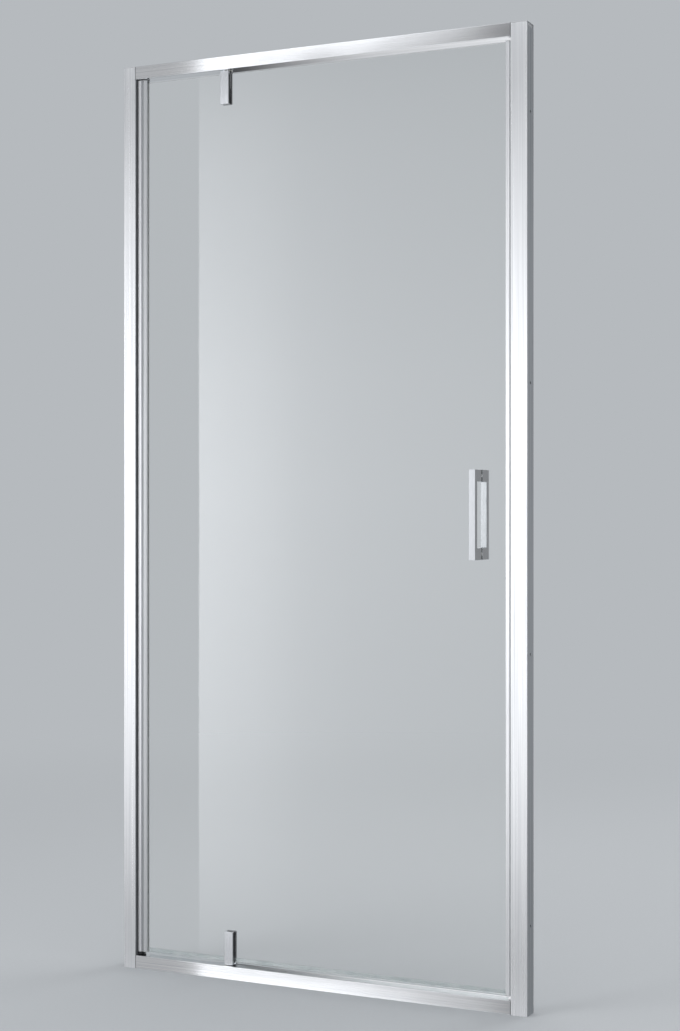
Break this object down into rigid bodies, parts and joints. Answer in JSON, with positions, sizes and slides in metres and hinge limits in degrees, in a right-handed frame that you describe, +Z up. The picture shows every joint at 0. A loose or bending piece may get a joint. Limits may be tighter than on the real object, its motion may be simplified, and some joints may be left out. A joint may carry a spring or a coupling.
{
  "type": "pivot shower door",
  "caption": "Framed alcove shower door with one clear glass leaf that swings on an offset vertical pivot, with edge profiles, seals and back-to-back handles.",
  "frame": {"origin": "on the floor, at the middle of the frame's width and in the middle plane of the glass", "axes": "+X to the right as seen from outside the shower, +Y into the shower, +Z up"},
  "size_m": [0.9, 0.078, 1.9],
  "materials": {
    "frame_aluminium": "bright brushed and polished extrusion",
    "stile_aluminium": "bright brushed extrusion",
    "channel_aluminium": "mill finish extrusion",
    "chrome": "polished chrome plate on zinc",
    "clear_glass": "clear toughened glass, polished edges",
    "black_rubber": "matt black rubber",
    "grey_rubber": "matt grey rubber",
    "clear_vinyl": "clear soft vinyl",
    "magnet_vinyl": "grey vinyl over a magnet strip",
    "cap_plastic": "silver grey moulded plastic",
    "nylon": "white nylon",
    "screw_steel": "stainless steel"
  },
  "bodies": {
    "frame": {"hinge_jamb": "frame_aluminium", "latch_jamb": "frame_aluminium", "top_rail": "frame_aluminium", "bottom_rail": "frame_aluminium", "hinge_wall_channel": "channel_aluminium", "latch_wall_channel": "channel_aluminium", "hinge_side_joint_pads": "black_rubber", "latch_side_joint_pads": "grey_rubber", "jamb_top_caps": "cap_plastic", "corner_screws": "screw_steel", "jamb_fixing_screws": "screw_steel", "screw_cover_caps": "cap_plastic", "hinge_jamb_gasket": "black_rubber", "jamb_magnet_strip": "magnet_vinyl", "stop_buffer": "clear_vinyl", "bottom_pivot_bush": "nylon", "top_pivot_bush": "nylon"},
    "leaf": {"glass_pane": "clear_glass", "hinge_stile": "stile_aluminium", "latch_stile": "stile_aluminium", "leaf_magnet_strip": "magnet_vinyl", "hinge_glazing_liner": "clear_vinyl", "latch_glazing_liner": "clear_vinyl", "stile_end_caps": "cap_plastic", "stile_foot_block": "black_rubber", "hinge_side_drip_seal": "clear_vinyl", "latch_side_drip_seal": "clear_vinyl", "outer_handle": "chrome", "inner_handle": "chrome", "handle_studs": "screw_steel", "handle_stud_sleeves": "nylon", "handle_washers": "clear_vinyl", "handle_grub_screws": "screw_steel", "bottom_hinge_front_block": "chrome", "bottom_hinge_back_block": "chrome", "bottom_hinge_screws": "screw_steel", "bottom_hinge_pads": "black_rubber", "bottom_hinge_pin": "screw_steel", "top_hinge_front_block": "chrome", "top_hinge_back_block": "chrome", "top_hinge_screws": "screw_steel", "top_hinge_pads": "black_rubber", "top_hinge_pin": "screw_steel"}
  },
  "joints": [
    {"name": "leaf_swing", "type": "hinge", "parent": "frame", "child": "leaf", "pos_m": [-0.208, 0, 0], "axis": [0, 0, -1], "range_deg": [0, 90]}
  ]
}
